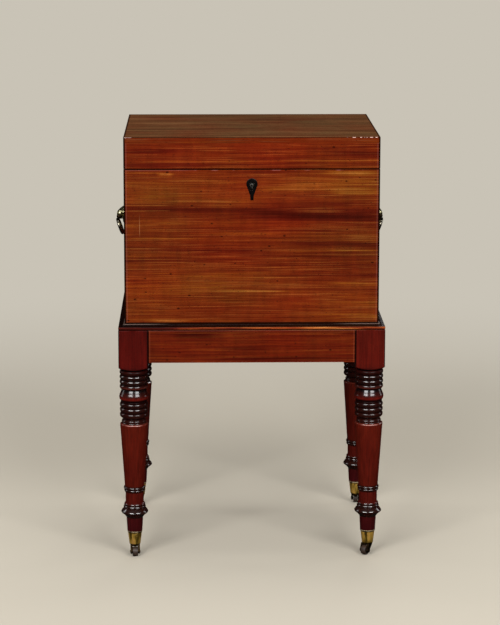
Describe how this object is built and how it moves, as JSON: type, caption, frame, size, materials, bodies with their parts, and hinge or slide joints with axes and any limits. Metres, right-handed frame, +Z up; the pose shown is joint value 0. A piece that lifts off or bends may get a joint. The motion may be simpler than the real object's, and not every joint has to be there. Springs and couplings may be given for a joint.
{
  "type": "cellarette",
  "caption": "Mahogany bottle case with a hinged, locking lid and ring handles, set into a stand on turned legs with brass castors.",
  "frame": {"origin": "on the floor, below the centre of the stand", "axes": "+X to the right seen from the front, +Y to the back where the hinges are, +Z up"},
  "size_m": [0.4842, 0.352, 0.745],
  "materials": {
    "mahogany_case": "french-polished mahogany, straight grain along the boards",
    "mahogany_lid": "french-polished mahogany",
    "mahogany_top": "faded polished mahogany",
    "mahogany_stand": "dark polished mahogany",
    "mahogany_moulding": "polished mahogany",
    "inner_wood": "thin waxed mahogany boards",
    "castor_brass": "aged cast brass",
    "castor_wheel": "worn brass tread",
    "handle_brass": "dark patinated cast brass",
    "brass": "tarnished drawn brass",
    "lead": "dull grey sheet lead",
    "lock_metal": "filed and oiled",
    "steel": "dark steel",
    "ebony": "polished ebony"
  },
  "bodies": {
    "stand": {"leg_front_left": "mahogany_stand", "leg_front_right": "mahogany_stand", "leg_rear_left": "mahogany_stand", "leg_rear_right": "mahogany_stand", "rail_front": "mahogany_stand", "rail_right": "mahogany_stand", "rail_rear": "mahogany_stand", "rail_left": "mahogany_stand", "moulding_front": "mahogany_moulding", "moulding_right": "mahogany_moulding", "moulding_rear": "mahogany_moulding", "moulding_left": "mahogany_moulding", "castor_cup_front_left": "castor_brass", "castor_cup_front_right": "castor_brass", "castor_cup_rear_left": "castor_brass", "castor_cup_rear_right": "castor_brass", "castor_cup_nails": "steel"},
    "case": {"case_front": "mahogany_case", "case_right": "mahogany_case", "case_rear": "mahogany_case", "case_left": "mahogany_case", "case_bottom": "inner_wood", "lead_lining": "lead", "divider_long_front": "inner_wood", "divider_long_rear": "inner_wood", "divider_cross_left": "inner_wood", "divider_cross_middle": "inner_wood", "divider_cross_right": "inner_wood", "hinge_lower_left": "brass", "hinge_lower_right": "brass", "hinge_pins": "brass", "case_screws": "steel", "lock_case": "lock_metal", "escutcheon": "ebony", "handle_rose_left": "handle_brass", "handle_rose_right": "handle_brass"},
    "lid": {"lid_front": "mahogany_lid", "lid_right": "mahogany_lid", "lid_rear": "mahogany_lid", "lid_left": "mahogany_lid", "lid_top": "mahogany_top", "hinge_upper_left": "brass", "hinge_upper_right": "brass", "lid_screws": "steel", "lock_link_plate": "lock_metal"},
    "bolt": {"lock_bolt": "lock_metal"},
    "ring_left": {"handle_ring_left": "handle_brass"},
    "ring_right": {"handle_ring_right": "handle_brass"},
    "castor_front_left": {"castor_fork_front_left": "castor_brass", "castor_axle_front_left": "castor_brass"},
    "wheel_front_left": {"castor_wheel_front_left": "castor_wheel"},
    "castor_front_right": {"castor_fork_front_right": "castor_brass", "castor_axle_front_right": "castor_brass"},
    "wheel_front_right": {"castor_wheel_front_right": "castor_wheel"},
    "castor_rear_left": {"castor_fork_rear_left": "castor_brass", "castor_axle_rear_left": "castor_brass"},
    "wheel_rear_left": {"castor_wheel_rear_left": "castor_wheel"},
    "castor_rear_right": {"castor_fork_rear_right": "castor_brass", "castor_axle_rear_right": "castor_brass"},
    "wheel_rear_right": {"castor_wheel_rear_right": "castor_wheel"}
  },
  "joints": [
    {"name": "case_lift", "type": "slide", "parent": "stand", "child": "case", "axis": [0, 0, 1], "range_m": [0, 0.012]},
    {"name": "lid_hinge", "type": "hinge", "parent": "case", "child": "lid", "pos_m": [0, 0.167, 0.69015], "axis": [-1, 0, 0], "range_deg": [0, 100]},
    {"name": "lock_bolt_slide", "type": "slide", "parent": "case", "child": "bolt", "axis": [1, 0, 0], "range_m": [0, 0.0056]},
    {"name": "handle_ring_left_swing", "type": "hinge", "parent": "case", "child": "ring_left", "pos_m": [-0.2335, 0, 0.5825], "axis": [0, 1, 0], "range_deg": [-8.5, 82]},
    {"name": "handle_ring_right_swing", "type": "hinge", "parent": "case", "child": "ring_right", "pos_m": [0.2335, 0, 0.5825], "axis": [0, -1, 0], "range_deg": [-8.5, 82]},
    {"name": "castor_front_left_swivel", "type": "hinge", "parent": "stand", "child": "castor_front_left", "pos_m": [-0.2055, -0.1505, 0.02], "axis": [0, 0, 1], "continuous": true},
    {"name": "castor_front_left_roll", "type": "hinge", "parent": "castor_front_left", "child": "wheel_front_left", "pos_m": [-0.20494, -0.15848, 0.0085], "axis": [0.9976, 0.0698, 0], "continuous": true},
    {"name": "castor_front_right_swivel", "type": "hinge", "parent": "stand", "child": "castor_front_right", "pos_m": [0.2055, -0.1505, 0.02], "axis": [0, 0, 1], "continuous": true},
    {"name": "castor_front_right_roll", "type": "hinge", "parent": "castor_front_right", "child": "wheel_front_right", "pos_m": [0.2008, -0.15697, 0.0085], "axis": [0.809, -0.5878, 0], "continuous": true},
    {"name": "castor_rear_left_swivel", "type": "hinge", "parent": "stand", "child": "castor_rear_left", "pos_m": [-0.2055, 0.1505, 0.02], "axis": [0, 0, 1], "continuous": true},
    {"name": "castor_rear_left_roll", "type": "hinge", "parent": "castor_rear_left", "child": "wheel_rear_left", "pos_m": [-0.20824, 0.14298, 0.0085], "axis": [0.9397, -0.342, 0], "continuous": true},
    {"name": "castor_rear_right_swivel", "type": "hinge", "parent": "stand", "child": "castor_rear_right", "pos_m": [0.2055, 0.1505, 0.02], "axis": [0, 0, 1], "continuous": true},
    {"name": "castor_rear_right_roll", "type": "hinge", "parent": "castor_rear_right", "child": "wheel_rear_right", "pos_m": [0.20606, 0.15848, 0.0085], "axis": [-0.9976, 0.0698, 0], "continuous": true}
  ]
}
